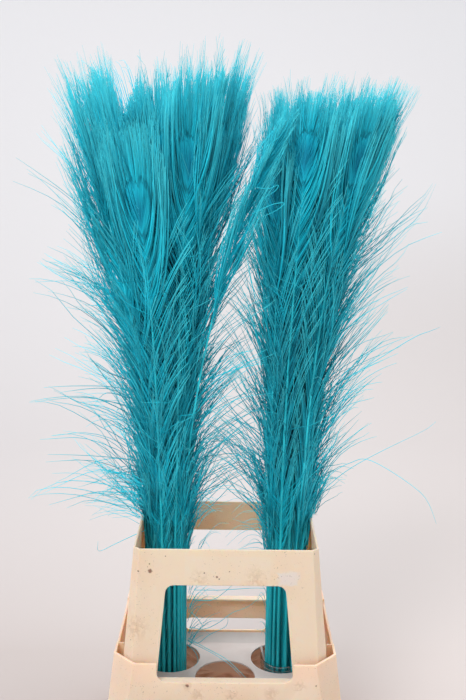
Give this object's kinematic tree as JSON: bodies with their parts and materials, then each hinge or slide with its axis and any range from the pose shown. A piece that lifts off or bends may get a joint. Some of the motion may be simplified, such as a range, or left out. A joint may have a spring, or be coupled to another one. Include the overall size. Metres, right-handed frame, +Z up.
{
  "type": "dyed peacock feathers in a flower crate",
  "caption": "Two bunches of turquoise dyed peacock feathers standing in a plastic flower crate with a collar, a holed tray and a clear cup.",
  "frame": {"origin": "middle of the crate's flat underside, on the surface it stands on", "axes": "+Z up along the feathers, -Y out of the crate's front, +X towards the bunch that leans"},
  "size_m": [0.6089, 0.4043, 1.09],
  "materials": {
    "peach_plastic": "scuffed, slightly translucent moulded plastic",
    "white_plastic": "dull moulded plastic",
    "clear_plastic": "clear thin plastic",
    "turquoise_feather": "dyed barbs with a soft sheen"
  },
  "bodies": {
    "root": {"crate_tub": "peach_plastic", "crate_collar": "peach_plastic", "hole_tray": "white_plastic", "clear_cup": "clear_plastic", "left_feather_01": "turquoise_feather", "left_feather_02": "turquoise_feather", "left_feather_03": "turquoise_feather", "left_feather_04": "turquoise_feather", "left_feather_05": "turquoise_feather", "left_feather_06": "turquoise_feather", "left_feather_07": "turquoise_feather", "left_feather_08": "turquoise_feather", "left_feather_09": "turquoise_feather", "left_feather_10": "turquoise_feather", "left_feather_11": "turquoise_feather", "left_feather_12": "turquoise_feather", "left_feather_13": "turquoise_feather", "left_feather_14": "turquoise_feather", "left_feather_15": "turquoise_feather", "left_feather_16": "turquoise_feather", "left_feather_17": "turquoise_feather", "left_feather_18": "turquoise_feather", "left_feather_19": "turquoise_feather", "left_feather_20": "turquoise_feather", "left_feather_21": "turquoise_feather", "left_feather_22": "turquoise_feather", "left_feather_23": "turquoise_feather", "left_feather_24": "turquoise_feather", "left_feather_25": "turquoise_feather", "left_feather_26": "turquoise_feather", "left_feather_27": "turquoise_feather", "right_feather_01": "turquoise_feather", "right_feather_02": "turquoise_feather", "right_feather_03": "turquoise_feather", "right_feather_04": "turquoise_feather", "right_feather_05": "turquoise_feather", "right_feather_06": "turquoise_feather", "right_feather_07": "turquoise_feather", "right_feather_08": "turquoise_feather", "right_feather_09": "turquoise_feather", "right_feather_10": "turquoise_feather", "right_feather_11": "turquoise_feather", "right_feather_12": "turquoise_feather", "right_feather_13": "turquoise_feather", "right_feather_14": "turquoise_feather", "right_feather_15": "turquoise_feather", "right_feather_16": "turquoise_feather", "right_feather_17": "turquoise_feather", "right_feather_18": "turquoise_feather", "right_feather_19": "turquoise_feather", "right_feather_20": "turquoise_feather", "right_feather_21": "turquoise_feather", "right_feather_22": "turquoise_feather", "right_feather_23": "turquoise_feather", "right_feather_24": "turquoise_feather", "right_feather_25": "turquoise_feather", "right_feather_26": "turquoise_feather", "right_feather_27": "turquoise_feather"}
  },
  "joints": []
}
